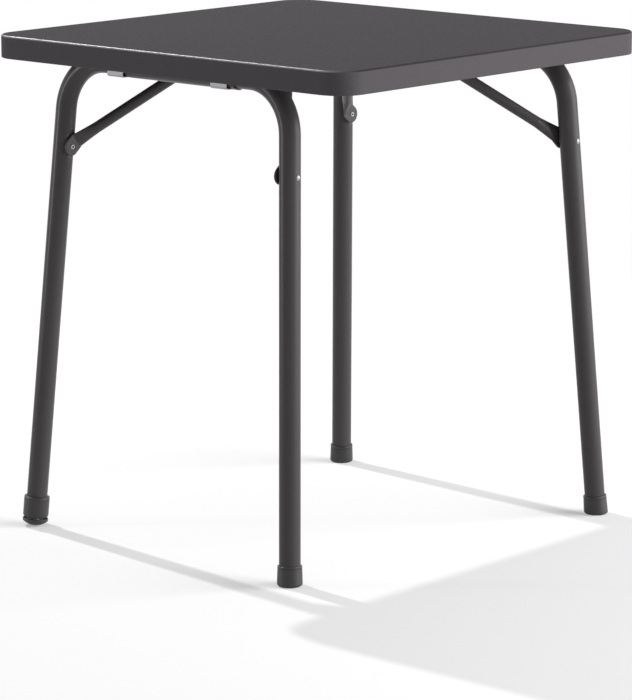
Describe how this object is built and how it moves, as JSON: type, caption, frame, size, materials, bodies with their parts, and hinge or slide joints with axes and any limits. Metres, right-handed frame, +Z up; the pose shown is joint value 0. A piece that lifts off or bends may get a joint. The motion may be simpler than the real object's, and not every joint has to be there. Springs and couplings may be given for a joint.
{
  "type": "folding card table",
  "caption": "Square folding table with a rounded-corner top on splayed bent-tube leg frames that fold inward, each held open by a hooked bow brace.",
  "frame": {"origin": "centre of the table on the floor, under the middle of the top", "axes": "+Z up; X along the pivot tubes; -Y towards the front leg frame, whose left foot is the levelling one"},
  "size_m": [0.665, 0.665, 0.72],
  "materials": {
    "moulded_top": "fine-textured matte",
    "black_moulding": "matte",
    "painted_tube": "semi-gloss",
    "plated_strap": "satin",
    "zinc_screw": "bright",
    "bright_rivet": "bright",
    "pale_nylon": "matte",
    "brass_insert": "machined",
    "foot_plastic": "satin"
  },
  "bodies": {
    "tabletop": {"table_top": "moulded_top", "strap_screws": "zinc_screw", "catch_screws": "zinc_screw", "front_brace_catch": "black_moulding", "rear_brace_catch": "black_moulding", "front_left_saddle": "black_moulding", "front_left_strap": "plated_strap", "front_right_saddle": "black_moulding", "front_right_strap": "plated_strap", "rear_left_saddle": "black_moulding", "rear_left_strap": "plated_strap", "rear_right_saddle": "black_moulding", "rear_right_strap": "plated_strap"},
    "front_leg_frame": {"front_leg_tube": "painted_tube", "front_sleeves": "painted_tube", "front_left_cap": "foot_plastic", "front_right_cap": "foot_plastic", "front_rivets": "bright_rivet", "front_washers": "pale_nylon", "levelling_insert": "brass_insert"},
    "rear_leg_frame": {"rear_leg_tube": "painted_tube", "rear_sleeves": "painted_tube", "rear_left_cap": "foot_plastic", "rear_right_cap": "foot_plastic", "rear_rivets": "bright_rivet", "rear_washers": "pale_nylon"},
    "front_brace_bow": {"front_brace": "painted_tube"},
    "rear_brace_bow": {"rear_brace": "painted_tube"},
    "levelling_foot": {"levelling_screw": "zinc_screw", "levelling_disc": "foot_plastic"}
  },
  "joints": [
    {"name": "front_leg_fold", "type": "hinge", "parent": "tabletop", "child": "front_leg_frame", "pos_m": [-0.0375, -0.2555, 0.685], "axis": [1, 0, 0], "range_deg": [0, 87]},
    {"name": "rear_leg_fold", "type": "hinge", "parent": "tabletop", "child": "rear_leg_frame", "pos_m": [0.0375, 0.2555, 0.685], "axis": [-1, 0, 0], "range_deg": [0, 87]},
    {"name": "front_brace_swing", "type": "hinge", "parent": "front_leg_frame", "child": "front_brace_bow", "pos_m": [-0.0375, -0.26375, 0.5595], "axis": [1, 0, 0], "range_deg": [-300, 0]},
    {"name": "rear_brace_swing", "type": "hinge", "parent": "rear_leg_frame", "child": "rear_brace_bow", "pos_m": [0.0375, 0.26375, 0.5595], "axis": [-1, 0, 0], "range_deg": [-300, 0]},
    {"name": "levelling_travel", "type": "slide", "parent": "front_leg_frame", "child": "levelling_foot", "axis": [-0.0579, -0.0654, -0.9962], "range_m": [0, 0.012]}
  ],
  "couplings": [
    {"joint": "rear_leg_fold", "follows": "front_leg_fold", "ratio": 1},
    {"joint": "front_brace_swing", "follows": "front_leg_fold", "ratio": -3.44},
    {"joint": "rear_brace_swing", "follows": "front_leg_fold", "ratio": -3.44}
  ]
}
